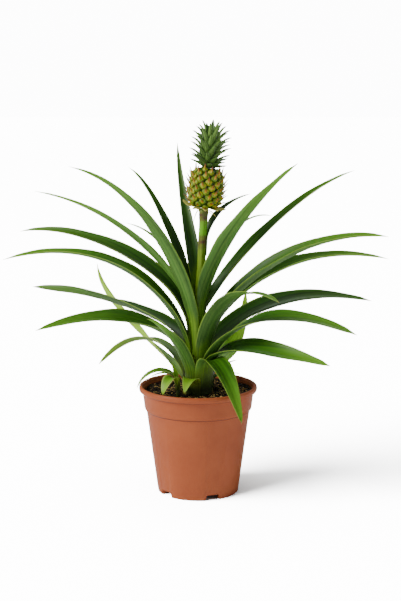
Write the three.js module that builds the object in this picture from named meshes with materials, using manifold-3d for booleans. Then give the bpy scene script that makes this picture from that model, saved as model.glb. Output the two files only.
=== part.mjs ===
// Potted dwarf pineapple: a young plant in fruit, in a 12 cm terracotta-coloured plastic nursery pot.
// Millimetres, +Z up. The origin is on the ground, on the pot's axis. -Y is the front, +X the right.
// Directions round the plant are degrees from +X toward +Y, so 270 is the front.

import * as THREE from 'three';
import { mergeVertices } from 'three/addons/utils/BufferGeometryUtils.js';
import Module from 'manifold-3d';

const wasm = await Module();
wasm.setup();

// Clearance between pieces that touch on the real plant
const GAP = 0.3;

// Pot
const POT_HEIGHT = 110;
const POT_RIM_RADIUS = 60;
const POT_FOOT_RADIUS = 41;
const POT_WALL = 1.7;
const POT_FLOOR_UNDER = 5.6;
const POT_SHOULDER_Z = 86;
const POT_SHOULDER_RADIUS = 52.8;
const POT_SIDES = 40;
const NOTCH_COUNT = 5;
const NOTCH_WIDTH = 15;
const NOTCH_HEIGHT = 5.6;
const NOTCH_FIRST_ANGLE = -69;

// Soil
const SOIL_TOP_Z = 102;
const SOIL_RELIEF = 1.6;
const SOIL_EDGE_RISE = 2.4;
const SOIL_EDGE_RADIUS = 30;

// Stem: a stout trunk under the leaves, then the slim stalk of the fruit
const STEM_ROOT_Z = 80;
const STEM_ROOT_RADIUS = 11;
const TRUNK_FOOT_Z = 100;
const SHEATH_FOOT_RADIUS = 17;
const SHEATH_TAPER = 0.172;
const STALK_RADIUS = 4.2;
const STALK_TOP_Z = 289;
const STALK_BEND_Z = 190;
const STALK_BEND_LENGTH = 50;
const STALK_OFFSET = 3.4;
const STALK_LEAN = 0.047;
const STEM_SIDES = 14;
const BRACTS = 5;

// Leaves
const LEAF_THICKNESS = 0.8;
const SHEATH_SLOPE = 87;
const SHEATH_SPREAD = 0.9;
const CHANNEL_LENGTH = 50;
const ROLL_LENGTH = 100;
const LEAF_STATIONS = 11;
const LEAF_POINTS = 5;

// Fruit and crown
const FRUIT_LEAN = 6;
const FRUIT_HEIGHT = 41;
const FRUIT_CORE_RADIUS = 15.6;
const FRUIT_TOP_SHARE = 0.97;
const FRUIT_SIDES = 12;
const FRUITLETS = 76;
const FRUITLET_SIDES = 4;
const FRUIT_BRACTS = 7;
const CROWN_HEIGHT = 47;
const CROWN_LEAVES = 54;
const CROWN_CORE_RADIUS = 6.5;
const CROWN_FIRST_TIP = 3.5;
const CROWN_REACH = 16.5;
const GOLDEN_ANGLE = 137.508;

// Each leaf: where it points, the height it grows from, the height it leaves the bundle, how far out
// and how high its tip is, its slope at the tip, how far the curve runs on from the bundle and back
// from the tip, its width across the flat, and its channel, roll and twist in degrees. Leaves are
// listed from the top of the stem down: each clasps the stem outside those above it in the list.
const LEAVES = [
  ['leaf_stalk', 30, 250, 256, 56, 301, 12, 15, 36, 13, 50, 0, 0],
  ['leaf_right_slim', -5, 225, 229, 71, 282, -16, 4, 34, 11, 50, -10, 0],
  ['leaf_back_tall', 105, 168, 212, 84, 350, 84, 26, 44, 15, 50, -10, 0],
  ['leaf_front_right_tall', -50, 168, 186, 141, 341, 33, 29, 112, 25, 50, -5, 0],
  ['leaf_back_left_tall', 150, 162, 187, 82, 327, 25, 28, 36, 16, 55, -15, 0],
  ['leaf_right_tall', 22, 162, 186, 175, 322, 16, 10, 88, 20, 60, 10, 0],
  ['leaf_left_tall', 192, 155, 188, 161, 309, 11, 12, 96, 19, 60, 15, 0],
  ['leaf_back_left_slim', 138, 149, 172, 101, 267, 5, 15, 75, 10, 50, 0, 0],
  ['leaf_front_left_tall', 230, 149, 172, 178, 340, 13, 27, 112, 20, 50, 5, 0],
  ['leaf_right_long_upper', -8, 146, 160, 188, 264, -4, 14, 108, 32, 60, 12, 0],
  ['leaf_left_long_upper', 162, 143, 167, 195, 259, -11, 53, 76, 26, 60, -18, -9],
  ['leaf_right_long_lower', 15, 140, 156, 205, 231, -12, 12, 138, 28, 60, 12, 0],
  ['leaf_left_long_lower', 181, 137, 149, 195, 238, -15, 15, 138, 26, 59, -11, 0],
  ['leaf_front_right_twisted', -60, 135, 142, 148, 216, -12, 30, 86, 22, 40, -20, 30],
  ['leaf_left_twisted', 149, 131, 145, 210, 193, -4, 33, 53, 25, 56, -12, 112],
  ['leaf_right_low_upper', 30, 128, 142, 218, 177, -14, 10, 146, 30, 47, 15, 17],
  ['leaf_left_low', 206, 125, 134, 172, 180, -13, 17, 113, 28, 50, -28, 0],
  ['leaf_right_low_lower', -30, 122, 130, 173, 178, -17, 13, 124, 31, 30, 14, 11],
  ['leaf_front_left_short', 234, 119, 121, 83, 190, 16, 22, 23, 17, 48, 8, 6],
  ['leaf_back_right_upturned', 61, 116, 121, 105, 191, 87, 4, 74, 20, 27, 31, -7],
  ['leaf_right_broad', -28, 116, 126, 144, 144, -9, 27, 86, 33, 45, 31, 0],
  ['leaf_back_left_arched', 150, 113, 120, 122, 117, -45, 7, 97, 19, 41, 15, 20],
  ['leaf_front_drooping', -61, 110, 121, 87, 89, -62, 42, 44, 25, 40, 0, 0],
  ['leaf_right_small_upper', 10, 110, 116, 40, 134, 20, 8, 12, 7, 40, 0, 0],
  ['leaf_back_left_pale', 130, 107, 113, 173, 215, 88, 5, 50, 18, 50, 42, 92],
  ['leaf_back_right_small', 40, 105, 109, 57, 113, -12, 10, 20, 7, 40, 0, 0],
  ['leaf_front_low', 252, 103.5, 112, 43, 111, -60, 12, 16, 17, 40, -15, 0],
];

// Sucker: place, root, top and radius, then its leaves: direction, seat, reach, tip height, tip
// slope, lead, tail and width
const SUCKER = { x: -20, y: -20, root: 84, top: 124, radius: 3.5 };
const SUCKER_LEAVES = [
  [180, 116, 41, 111, -70, 14, 26, 7],
  [158, 114, 30, 120, -30, 12, 14, 6],
  [225, 108, 20, 108, -80, 16, 14, 16],
  [130, 114, 10, 135, 55, 8, 6, 7],
];

const COLOURS = {
  pot: '#b5694a',
  soil: '#2a201a',
  stem: '#8c9c3c',
  fruit: '#a79a35',
  crown: '#4f7350',
  leaf: '#4a7a2e',
  youngLeaf: '#8db53c',
};

const radians = THREE.MathUtils.degToRad;

// Repeatable random numbers between 0 and 1
function seededRandom(seed) {
  let state = seed;
  return () => {
    state = (state * 1664525 + 1013904223) % 4294967296;
    return state / 4294967296;
  };
}

function smoothstep(value) {
  const t = Math.min(1, Math.max(0, value));
  return t * t * (3 - 2 * t);
}

// Turns an indexed geometry into a manifold-3d solid with its faces outward, without the flat
// triangles on a lathe's axis
function toSolid(geometry) {
  const plain = geometry.clone();
  plain.deleteAttribute('normal');
  plain.deleteAttribute('uv');
  const merged = mergeVertices(plain, 1e-4);
  const index = merged.index.array;
  const corner = (k) => new THREE.Vector3().fromBufferAttribute(merged.attributes.position, k);
  const triangles = [];
  let volume = 0;
  for (let i = 0; i < index.length; i += 3) {
    const [a, b, c] = [index[i], index[i + 1], index[i + 2]];
    if (a !== b && b !== c && c !== a) triangles.push(a, b, c);
    volume += corner(a).dot(corner(b).cross(corner(c)));
  }
  if (volume < 0) triangles.reverse();
  return new wasm.Manifold(new wasm.Mesh({
    numProp: 3,
    vertProperties: new Float32Array(merged.attributes.position.array),
    triVerts: new Uint32Array(triangles),
  }));
}

function toGeometry(solid) {
  const mesh = solid.getMesh();
  const geometry = new THREE.BufferGeometry();
  geometry.setAttribute('position', new THREE.BufferAttribute(mesh.vertProperties, 3));
  geometry.setIndex(new THREE.BufferAttribute(mesh.triVerts, 1));
  return geometry;
}

// The height of the stem's axis gives its place: upright in the rosette, then leaning right
function stemAxisX(z) {
  const bend = STALK_OFFSET * smoothstep((z - STALK_BEND_Z) / STALK_BEND_LENGTH);
  return bend + STALK_LEAN * Math.max(0, z - STALK_BEND_Z - STALK_BEND_LENGTH);
}

// Radius of a leaf's sheath where it grows from the stem: wide low down, close to the stalk above
function sheathRadius(seat) {
  const onTrunk = SHEATH_FOOT_RADIUS - SHEATH_TAPER * (seat - TRUNK_FOOT_Z);
  return Math.max(onTrunk, STALK_RADIUS + GAP + LEAF_THICKNESS / 2);
}

// Midrib of a leaf as distance out from its axis and height: a straight sheath, then one arching curve
function midribPoints(leaf, stations) {
  const slope = radians(SHEATH_SLOPE);
  const foot = new THREE.Vector2(leaf.radius, leaf.seat);
  const rise = leaf.leave - leaf.seat;
  const collar = new THREE.Vector2(leaf.radius + rise / Math.tan(slope), leaf.leave);
  const tip = new THREE.Vector2(leaf.reach, leaf.tip);
  const out = new THREE.Vector2(Math.cos(slope), Math.sin(slope)).multiplyScalar(leaf.lead).add(collar);
  const tipSlope = radians(leaf.slope);
  const back = new THREE.Vector2(-Math.cos(tipSlope), -Math.sin(tipSlope)).multiplyScalar(leaf.tail).add(tip);
  const blade = new THREE.CubicBezierCurve(collar, out, back, tip);
  return [foot, ...blade.getPoints(stations - 2)];
}

// Width share along the leaf, from 0 at its foot to 1 at its tip
function leafTaper(share) {
  return share < 0.35 ? 1 : Math.min(1, 0.1 + 1.55 * (1 - share) ** 0.9);
}

// Middle surface of a leaf: rows of points across it. The sheath wraps the axis, the blade is a
// channel that may roll to one side and twist toward its tip.
function leafRows(leaf, stations = LEAF_STATIONS, points = LEAF_POINTS) {
  const midrib = midribPoints(leaf, stations);
  const along = [0];
  for (let i = 1; i < midrib.length; i += 1) along.push(along[i - 1] + midrib[i].distanceTo(midrib[i - 1]));
  const length = along[along.length - 1];
  const turn = radians(leaf.azimuth);
  const outward = new THREE.Vector3(Math.cos(turn), Math.sin(turn), 0);
  const sideways = new THREE.Vector3(-Math.sin(turn), Math.cos(turn), 0);
  return midrib.map((point, i) => {
    const before = midrib[Math.max(0, i - 1)];
    const after = midrib[Math.min(midrib.length - 1, i + 1)];
    const tangent = after.clone().sub(before).normalize();
    const upper = outward.clone().multiplyScalar(-tangent.y);
    upper.z = tangent.x;
    const share = along[i] / length;
    const beyond = Math.max(0, along[i] - along[1]);
    const blend = smoothstep(beyond / CHANNEL_LENGTH);
    const widest = leaf.width * leafTaper(share);
    const width = (widest ** -4 + (2 * SHEATH_SPREAD * point.x) ** -4) ** -0.25;
    const curvature = (1 - blend) / Math.max(point.x, 6) + blend * radians(leaf.channel) / (width / 2);
    const roll = radians(leaf.roll * Math.min(1, beyond / ROLL_LENGTH) + leaf.twist * share * share);
    const centre = new THREE.Vector3(leaf.x, leaf.y, point.y).addScaledVector(outward, point.x);
    const row = [];
    for (let j = 0; j < points; j += 1) {
      const bend = (j / (points - 1) - 0.5) * width * curvature;
      const across = Math.sin(bend) / curvature;
      const lift = (1 - Math.cos(bend)) / curvature;
      row.push(centre.clone()
        .addScaledVector(sideways, across * Math.cos(roll) - lift * Math.sin(roll))
        .addScaledVector(upper, across * Math.sin(roll) + lift * Math.cos(roll)));
    }
    return row;
  });
}

// A blade as a closed solid: its middle surface moved half the thickness to both sides, with both
// faces split into triangles along the same diagonals
function bladeGeometry(rows, thickness = LEAF_THICKNESS) {
  const last = rows.length - 1;
  const end = rows[0].length - 1;
  const positions = [];
  for (const side of [-1, 1]) {
    rows.forEach((row, i) => row.forEach((point, j) => {
      const along = rows[Math.min(last, i + 1)][j].clone().sub(rows[Math.max(0, i - 1)][j]);
      const across = row[Math.min(end, j + 1)].clone().sub(row[Math.max(0, j - 1)]);
      const normal = along.cross(across).normalize();
      positions.push(...point.clone().addScaledVector(normal, side * thickness / 2));
    }));
  }
  const over = rows.length * (end + 1);
  const at = (i, j) => i * (end + 1) + j;
  const index = [];
  const quad = (a, b, c, d) => index.push(a, b, c, a, c, d);
  for (let i = 0; i < last; i += 1) {
    for (let j = 0; j < end; j += 1) {
      quad(at(i, j), at(i, j + 1), at(i + 1, j + 1), at(i + 1, j));
      index.push(over + at(i, j), over + at(i + 1, j + 1), over + at(i, j + 1));
      index.push(over + at(i, j), over + at(i + 1, j), over + at(i + 1, j + 1));
    }
    quad(at(i, 0), at(i + 1, 0), over + at(i + 1, 0), over + at(i, 0));
    quad(at(i + 1, end), at(i, end), over + at(i, end), over + at(i + 1, end));
  }
  for (let j = 0; j < end; j += 1) {
    quad(at(0, j + 1), at(0, j), over + at(0, j), over + at(0, j + 1));
    quad(at(last, j), at(last, j + 1), over + at(last, j + 1), over + at(last, j));
  }
  return indexedGeometry(positions, index);
}

// A closed skin over rings of points: flat at the first ring, and flat or to a point at the last
function ringGeometry(rings, apex = null) {
  const count = rings[0].length;
  const positions = rings.flat().flatMap((point) => [...point]);
  const index = [];
  for (let i = 0; i + 1 < rings.length; i += 1) {
    for (let j = 0; j < count; j += 1) {
      const a = i * count + j;
      const b = i * count + (j + 1) % count;
      index.push(a, b, b + count, a, b + count, a + count);
    }
  }
  const last = (rings.length - 1) * count;
  for (let j = 1; j + 1 < count; j += 1) {
    index.push(0, j + 1, j);
    if (!apex) index.push(last, last + j, last + j + 1);
  }
  if (apex) {
    const tip = positions.push(...apex) / 3 - 1;
    for (let j = 0; j < count; j += 1) index.push(last + j, last + (j + 1) % count, tip);
  }
  return indexedGeometry(positions, index);
}

function indexedGeometry(positions, index) {
  const geometry = new THREE.BufferGeometry();
  geometry.setAttribute('position', new THREE.Float32BufferAttribute(positions, 3));
  geometry.setIndex(index);
  return geometry;
}

// A tapering round rod through the given centres, level rings of the given radii
function rodGeometry(centres, radii, sides) {
  return ringGeometry(centres.map((centre, i) => Array.from({ length: sides }, (_, j) => {
    const turn = j / sides * 2 * Math.PI;
    return new THREE.Vector3(Math.cos(turn), Math.sin(turn), 0).multiplyScalar(radii[i]).add(centre);
  })));
}

// Joins solids into one, and fills any closed pocket left between overlapping leaves
function union(solids) {
  const whole = solids.reduce((sum, solid) => sum.add(solid));
  return wasm.Manifold.compose(whole.decompose().filter((shell) => shell.volume() > 0));
}

// Pot: thin wall with a rolled rim, a collar band with a step under it, a raised floor on a foot
// ring, and drainage notches cut through the foot ring and wall
function potGeometry() {
  const inner = (radius) => radius - POT_WALL;
  const profile = [
    [0, POT_FLOOR_UNDER], [POT_FOOT_RADIUS - 3.5, POT_FLOOR_UNDER], [POT_FOOT_RADIUS - 3, 0],
    [POT_FOOT_RADIUS, 0], [POT_FOOT_RADIUS + 0.5, 2.5], [POT_SHOULDER_RADIUS, POT_SHOULDER_Z - 1],
    [POT_SHOULDER_RADIUS + 1.4, POT_SHOULDER_Z + 0.6], [POT_SHOULDER_RADIUS + 1.9, POT_SHOULDER_Z + 2.6],
    [POT_RIM_RADIUS - 3.4, POT_HEIGHT - 6.4], [POT_RIM_RADIUS - 0.8, POT_HEIGHT - 5.6],
    [POT_RIM_RADIUS, POT_HEIGHT - 4], [POT_RIM_RADIUS, POT_HEIGHT - 1.8],
    [POT_RIM_RADIUS - 0.9, POT_HEIGHT - 0.4], [POT_RIM_RADIUS - 2.2, POT_HEIGHT],
    [POT_RIM_RADIUS - 3.4, POT_HEIGHT - 0.8], [POT_RIM_RADIUS - 4.2, POT_HEIGHT - 3],
    [inner(POT_RIM_RADIUS - 3.4), POT_HEIGHT - 7.4], [inner(POT_SHOULDER_RADIUS + 1.9), POT_SHOULDER_Z + 2],
    [inner(POT_SHOULDER_RADIUS), POT_SHOULDER_Z - 2], [inner(POT_FOOT_RADIUS + 0.7), potFloorTop()],
    [0, potFloorTop()],
  ].map(([x, y]) => new THREE.Vector2(x, y));
  const shell = toSolid(new THREE.LatheGeometry(profile, POT_SIDES).rotateX(Math.PI / 2));
  const notches = Array.from({ length: NOTCH_COUNT }, (_, k) => {
    const cutter = new THREE.BoxGeometry(12, NOTCH_WIDTH, 2 * NOTCH_HEIGHT);
    cutter.translate(POT_FOOT_RADIUS, 0, 0);
    cutter.rotateZ(radians(NOTCH_FIRST_ANGLE + k * 360 / NOTCH_COUNT));
    return toSolid(cutter);
  });
  return toGeometry(shell.subtract(union(notches)));
}

function potFloorTop() {
  return POT_FLOOR_UNDER + POT_WALL;
}

// Inside radius of the pot at a height
function potInside(z) {
  const share = (z - potFloorTop()) / (POT_SHOULDER_Z - 2 - potFloorTop());
  const lower = POT_FOOT_RADIUS + 0.7;
  return lower + (POT_SHOULDER_RADIUS - lower) * Math.min(1, share) - POT_WALL;
}

// Soil: fills the pot to just under the rim, lumpy on top and higher toward the rim, with a hole
// for each stem
function soilGeometry() {
  const hole = STEM_ROOT_RADIUS + 5 + GAP;
  const topRadius = POT_RIM_RADIUS - 3.4 - POT_WALL - 2 * GAP;
  const shoulder = POT_SHOULDER_Z + 4;
  const rings = [hole, 25, 34, 43, 50, topRadius];
  const profile = [
    [0, STEM_ROOT_Z - GAP], [STEM_ROOT_RADIUS + GAP, STEM_ROOT_Z - GAP], [hole, SOIL_TOP_Z - 4],
    ...rings.map((radius) => [radius, SOIL_TOP_Z]),
    [potInside(shoulder) + 1.9 - 2 * GAP, shoulder], [potInside(POT_SHOULDER_Z - 2) - GAP, POT_SHOULDER_Z - 2],
    [potInside(potFloorTop()) - GAP, potFloorTop() + GAP], [0, potFloorTop() + GAP],
  ].map(([x, y]) => new THREE.Vector2(x, y));
  const geometry = new THREE.LatheGeometry(profile, POT_SIDES).rotateX(Math.PI / 2);
  const position = geometry.attributes.position;
  for (let i = 0; i < position.count; i += 1) {
    if (Math.abs(position.getZ(i) - SOIL_TOP_Z) < 0.01) {
      position.setZ(i, SOIL_TOP_Z + soilRelief(position.getX(i), position.getY(i)));
    }
  }
  const shaft = rodGeometry(
    [new THREE.Vector3(SUCKER.x, SUCKER.y, SUCKER.root - GAP), new THREE.Vector3(SUCKER.x, SUCKER.y, 120)],
    [SUCKER.radius + 1.5 + GAP, SUCKER.radius + 1.5 + GAP], 10);
  return toGeometry(toSolid(geometry).subtract(toSolid(shaft)));
}

function soilRelief(x, y) {
  const waves = Math.sin(0.21 * x + 1.3) * Math.cos(0.17 * y) + 0.6 * Math.sin(0.43 * x - 0.37 * y)
    + 0.5 * Math.cos(0.61 * y + 0.29 * x);
  const rise = Math.max(0, Math.hypot(x, y) - SOIL_EDGE_RADIUS) / (POT_RIM_RADIUS - SOIL_EDGE_RADIUS);
  return SOIL_RELIEF * waves / 2 + SOIL_EDGE_RISE * rise;
}

// Stem: root, trunk that the leaves clasp, and the stalk, with a ring of small bracts under the fruit
function stemGeometry() {
  const trunkRadius = (z) => Math.max(STALK_RADIUS, sheathRadius(z) - LEAF_THICKNESS / 2 - 2 * GAP);
  const heights = [TRUNK_FOOT_Z, 133, 166, 190, 203, 215, 227, 240, 265, STALK_TOP_Z];
  const centres = [STEM_ROOT_Z, ...heights].map((z) => new THREE.Vector3(stemAxisX(z), 0, z));
  const stem = toSolid(rodGeometry(centres, [STEM_ROOT_RADIUS, ...heights.map(trunkRadius)], STEM_SIDES));
  const random = seededRandom(11);
  const bracts = Array.from({ length: BRACTS }, (_, k) => {
    const seat = STALK_TOP_Z - 16 + 5 * k / BRACTS;
    return toSolid(bladeGeometry(leafRows(placedLeaf({
      azimuth: 190 + k * GOLDEN_ANGLE, seat, leave: seat + 1.5, reach: 11 + 5 * random(),
      tip: STALK_TOP_Z - 11 + 3 * random(), slope: -30 + 30 * random(), lead: 3, tail: 5,
      width: 5.5, channel: 30, roll: 0, twist: 0, radius: STALK_RADIUS,
    }), 5, 3)));
  });
  return toGeometry(union([stem, ...bracts]));
}

// A leaf's full description: it stands round the stem's axis unless it gives a place of its own
function placedLeaf(leaf) {
  return { x: stemAxisX(leaf.seat), y: 0, radius: sheathRadius(leaf.seat), ...leaf };
}

// Sucker: a short side shoot in the soil at the front left, with its four arching leaves
function suckerGeometry() {
  const centres = [SUCKER.root, 104, SUCKER.top].map((z) => new THREE.Vector3(SUCKER.x, SUCKER.y, z));
  const shoot = toSolid(rodGeometry(centres, [SUCKER.radius, SUCKER.radius, SUCKER.radius - 1], 8));
  const leaves = SUCKER_LEAVES.map(([azimuth, seat, reach, tip, slope, lead, tail, width]) => (
    toSolid(bladeGeometry(leafRows({
      x: SUCKER.x, y: SUCKER.y, radius: SUCKER.radius - 1.2, azimuth, seat, leave: seat + 3,
      reach, tip, slope, lead, tail, width, channel: 35, roll: 0, twist: 0,
    }, 8, 3)))
  ));
  return toGeometry(union([shoot, ...leaves]));
}

// Radius of the fruit's core at a height above its base, a barrel a little wider below the middle
function fruitRadius(height) {
  const middle = 0.47 * FRUIT_HEIGHT;
  const half = height < middle ? middle : FRUIT_HEIGHT - middle;
  const share = Math.min(1, Math.abs(height - middle) / half);
  return FRUIT_CORE_RADIUS * (1 - share ** 3) ** (1 / 3);
}

// Fruit: a barrel core covered with fruitlets in golden-angle spirals, each a boss under a
// pointed bract that sweeps up
function fruitGeometry() {
  const heights = [0, 0.02, 0.08, 0.2, 0.36, 0.56, 0.75, 0.9, FRUIT_TOP_SHARE].map((share) => share * FRUIT_HEIGHT);
  const profile = heights.map((height) => new THREE.Vector2(fruitRadius(height), height));
  profile.push(new THREE.Vector2(0, FRUIT_TOP_SHARE * FRUIT_HEIGHT));
  const core = toSolid(new THREE.LatheGeometry(profile, FRUIT_SIDES).rotateX(Math.PI / 2));
  const random = seededRandom(5);
  const fruitlets = Array.from({ length: FRUITLETS }, (_, k) => {
    const height = 1.5 + (FRUIT_HEIGHT - 7) * (k + 0.5) / FRUITLETS;
    const turn = radians(k * GOLDEN_ANGLE);
    const radius = fruitRadius(height);
    const slope = Math.atan2(fruitRadius(height - 0.5) - fruitRadius(height + 0.5), 1);
    const outward = new THREE.Vector3(Math.cos(turn), Math.sin(turn), 0);
    const normal = outward.clone().multiplyScalar(Math.cos(slope)).setZ(Math.sin(slope));
    const rise = outward.clone().multiplyScalar(-Math.sin(slope)).setZ(Math.cos(slope));
    const side = new THREE.Vector3(-Math.sin(turn), Math.cos(turn), 0);
    const centre = outward.clone().multiplyScalar(radius).setZ(height);
    const ring = (size, lift) => Array.from({ length: FRUITLET_SIDES }, (__, j) => {
      const angle = j / FRUITLET_SIDES * 2 * Math.PI;
      return centre.clone().addScaledVector(side, size * Math.cos(angle))
        .addScaledVector(rise, size * Math.sin(angle)).addScaledVector(normal, lift);
    });
    const spike = 3.4 + 1.2 * random();
    const apex = centre.clone().addScaledVector(normal, 4).addScaledVector(rise, spike * radius / FRUIT_CORE_RADIUS);
    return toSolid(ringGeometry([ring(4.4, -1.4), ring(2.8, 1.5)], apex));
  });
  const bracts = Array.from({ length: FRUIT_BRACTS }, (_, k) => toSolid(bladeGeometry(leafRows({
    x: 0, y: 0, radius: 3, azimuth: 190 + k * 360 / FRUIT_BRACTS, seat: 0.8, leave: 1,
    reach: 17 + 5 * random(), tip: 1 + 3 * random(), slope: 25, lead: 0.4, tail: 9,
    width: 7, channel: 30, roll: 0, twist: 0,
  }, 5, 3))));
  return toGeometry(union([core, ...fruitlets, ...bracts]));
}

// Crown: a slim core hidden by tiers of short channelled leaves that curve up and out
function crownGeometry() {
  const heights = [0, 6, 22, 33, 38];
  const radii = [0.75, 1, 1, 0.65, 0.35].map((share) => share * CROWN_CORE_RADIUS);
  const core = toSolid(rodGeometry(heights.map((z) => new THREE.Vector3(0, 0, z)), radii, 10));
  const leaves = Array.from({ length: CROWN_LEAVES }, (_, k) => {
    const share = k / (CROWN_LEAVES - 1);
    return toSolid(crownLeafGeometry(radians(k * GOLDEN_ANGLE), share));
  });
  return toGeometry(union([core, ...leaves]));
}

// One crown leaf: three-sided in section, with two raised edges and a keel under them
function crownLeafGeometry(turn, share) {
  const tip = CROWN_FIRST_TIP + (CROWN_HEIGHT - CROWN_FIRST_TIP) * share;
  const foot = Math.max(0.5, tip - 9 - 7 * share);
  const late = Math.max(0, (share - 0.8) / 0.2);
  const hug = CROWN_CORE_RADIUS + 3 - 3 * late;
  const reach = CROWN_REACH + 3 * Math.sin(Math.PI * Math.min(1, 1.2 * share)) - 9 * late;
  const path = new THREE.CubicBezierCurve(
    new THREE.Vector2(3, foot), new THREE.Vector2(hug, foot + 0.5),
    new THREE.Vector2(hug + 2.5 - 2 * late, tip - 2 - 2 * late), new THREE.Vector2(reach, tip));
  const outward = new THREE.Vector3(Math.cos(turn), Math.sin(turn), 0);
  const sideways = new THREE.Vector3(-Math.sin(turn), Math.cos(turn), 0);
  const place = (point) => outward.clone().multiplyScalar(point.x).setZ(point.y);
  const rings = [[0, 6.5], [0.3, 8], [0.6, 6.5], [0.85, 3.4]].map(([t, width]) => {
    const tangent = path.getTangent(t);
    const upper = outward.clone().multiplyScalar(-tangent.y).setZ(tangent.x);
    const centre = place(path.getPoint(t));
    return [
      centre.clone().addScaledVector(sideways, -width / 2).addScaledVector(upper, 0.16 * width),
      centre.clone().addScaledVector(upper, -0.1 * width - 0.5),
      centre.clone().addScaledVector(sideways, width / 2).addScaledVector(upper, 0.16 * width),
    ];
  });
  return ringGeometry(rings, place(path.getPoint(1)));
}

// Moves a geometry from its own upright frame onto the leaning axis above the stalk
function ontoFruitAxis(geometry, height) {
  return geometry.translate(0, 0, height).rotateY(radians(FRUIT_LEAN))
    .translate(stemAxisX(STALK_TOP_Z), 0, STALK_TOP_Z + GAP);
}

const plant = new THREE.Group();

function addPiece(name, geometry, colour, roughness) {
  const material = new THREE.MeshStandardMaterial({ color: colour, roughness, metalness: 0 });
  const mesh = new THREE.Mesh(geometry, material);
  mesh.name = name;
  plant.add(mesh);
}

addPiece('pot', potGeometry(), COLOURS.pot, 0.55);
addPiece('soil', soilGeometry(), COLOURS.soil, 0.95);
addPiece('stem', stemGeometry(), COLOURS.stem, 0.6);
addPiece('sucker', suckerGeometry(), COLOURS.youngLeaf, 0.5);
addPiece('fruit', ontoFruitAxis(fruitGeometry(), 0), COLOURS.fruit, 0.55);
addPiece('crown', ontoFruitAxis(crownGeometry(), FRUIT_TOP_SHARE * FRUIT_HEIGHT + 3 * GAP), COLOURS.crown, 0.6);
for (const [name, azimuth, seat, leave, reach, tip, slope, lead, tail, width, channel, roll, twist] of LEAVES) {
  const leaf = placedLeaf({
    azimuth, seat, leave, reach, tip, slope, lead, tail, width, channel, roll, twist,
  });
  addPiece(name, toGeometry(toSolid(bladeGeometry(leafRows(leaf)))), COLOURS.leaf, 0.5);
}

export default plant;
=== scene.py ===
import math
import random

import bmesh
import bpy
from mathutils import Matrix, Vector


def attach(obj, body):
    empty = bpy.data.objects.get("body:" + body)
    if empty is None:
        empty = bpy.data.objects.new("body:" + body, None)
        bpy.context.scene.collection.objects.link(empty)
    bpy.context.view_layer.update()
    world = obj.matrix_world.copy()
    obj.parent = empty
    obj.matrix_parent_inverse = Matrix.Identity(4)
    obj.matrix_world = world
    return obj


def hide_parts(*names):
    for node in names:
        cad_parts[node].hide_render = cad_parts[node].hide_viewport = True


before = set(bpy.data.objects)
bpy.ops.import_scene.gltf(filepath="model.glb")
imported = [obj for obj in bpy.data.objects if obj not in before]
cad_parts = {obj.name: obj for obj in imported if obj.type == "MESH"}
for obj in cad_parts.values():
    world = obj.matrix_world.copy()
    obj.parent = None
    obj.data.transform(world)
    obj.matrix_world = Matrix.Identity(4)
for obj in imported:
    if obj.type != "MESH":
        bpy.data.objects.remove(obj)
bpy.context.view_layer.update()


# Camera, floor and lights
# The camera stands where the ellipses of the pot put it. The floor is a flat sheet of white studio
# paper, overexposed so that it fades into the backdrop. A large soft light at the front left lights
# the plant, with weaker ones at the right and behind.

CAMERA_PLACE = (0.0024, -1.3, 0.42)
CAMERA_LOOKS_DOWN = 9.76
SENSOR_WIDTH = 36
LENS = 117.9
FLOOR_HALF_WIDTH = 12
# Each pair is the brightness that the camera sees, and the one that lights the plant.
PAPER_BRIGHTNESS = (0.93, 0.08)
BACKDROP_BRIGHTNESS = (13.5, 0.3)
# Name, power, spread in degrees and direction. The first throws the shadow to the right and back.
FLOOR_SUNS = (
    ("floor_sun", 66, 42, (0.75, 0.35, -0.62)),
    ("floor_fill", 7, 50, (0.1, 0, -1)),
)
# Name, place, size, power and colour. All point at the middle of the plant.
SOFT_LIGHTS = (
    ("key", (-1.85, -0.75, 1.45), (0.9, 0.9), 60, "#fffaf2"),
    ("fill", (1.8, -1.2, 1.0), (1.6, 1.6), 2.5, "#ffffff"),
    ("back", (0.6, 1.3, 2.0), (1.8, 1.0), 12, "#ffffff"),
)
PLANT_MIDDLE = Vector((0, 0, 0.2))

camera = bpy.data.objects.new("camera", bpy.data.cameras.new("camera"))
camera.location = CAMERA_PLACE
camera.rotation_euler = (math.radians(90 - CAMERA_LOOKS_DOWN), 0, 0)
camera.data.sensor_fit = "HORIZONTAL"
camera.data.sensor_width = SENSOR_WIDTH
camera.data.lens = LENS
bpy.context.collection.objects.link(camera)
bpy.context.scene.camera = camera


def linear(code):
    """An sRGB hex colour as linear red, green, blue and alpha."""
    parts = [int(code[i:i + 2], 16) / 255 for i in (1, 3, 5)]
    parts = [p / 12.92 if p <= 0.04045 else ((p + 0.055) / 1.055) ** 2.4 for p in parts]
    return (*parts, 1.0)


def add(tree, kind, inputs=(), stops=(), output="", **settings):
    """Adds a shader node with its settings and a ramp's (position, hex colour) stops. Each input,
    given by name or in order, is a value or another node's output. Gives back the output named, or
    else the first that the node shows."""
    node = tree.nodes.new("ShaderNode" + kind)
    for name, value in settings.items():
        setattr(node, name, value)
    shown = [socket for socket in node.inputs if socket.enabled]
    if isinstance(inputs, dict):
        pairs = [(next(s for s in shown if s.name == name), inputs[name]) for name in inputs]
    else:
        pairs = zip(shown, inputs)
    for socket, value in pairs:
        if isinstance(value, bpy.types.NodeSocket):
            tree.links.new(value, socket)
        else:
            socket.default_value = value
    if stops:
        elements = node.color_ramp.elements
        while len(elements) < len(stops):
            elements.new(0.5)
        for element, (position, code) in zip(elements, stops):
            element.position = position
            element.color = linear(code)
    return next(s for s in node.outputs if s.enabled and output in ("", s.name))


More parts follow.
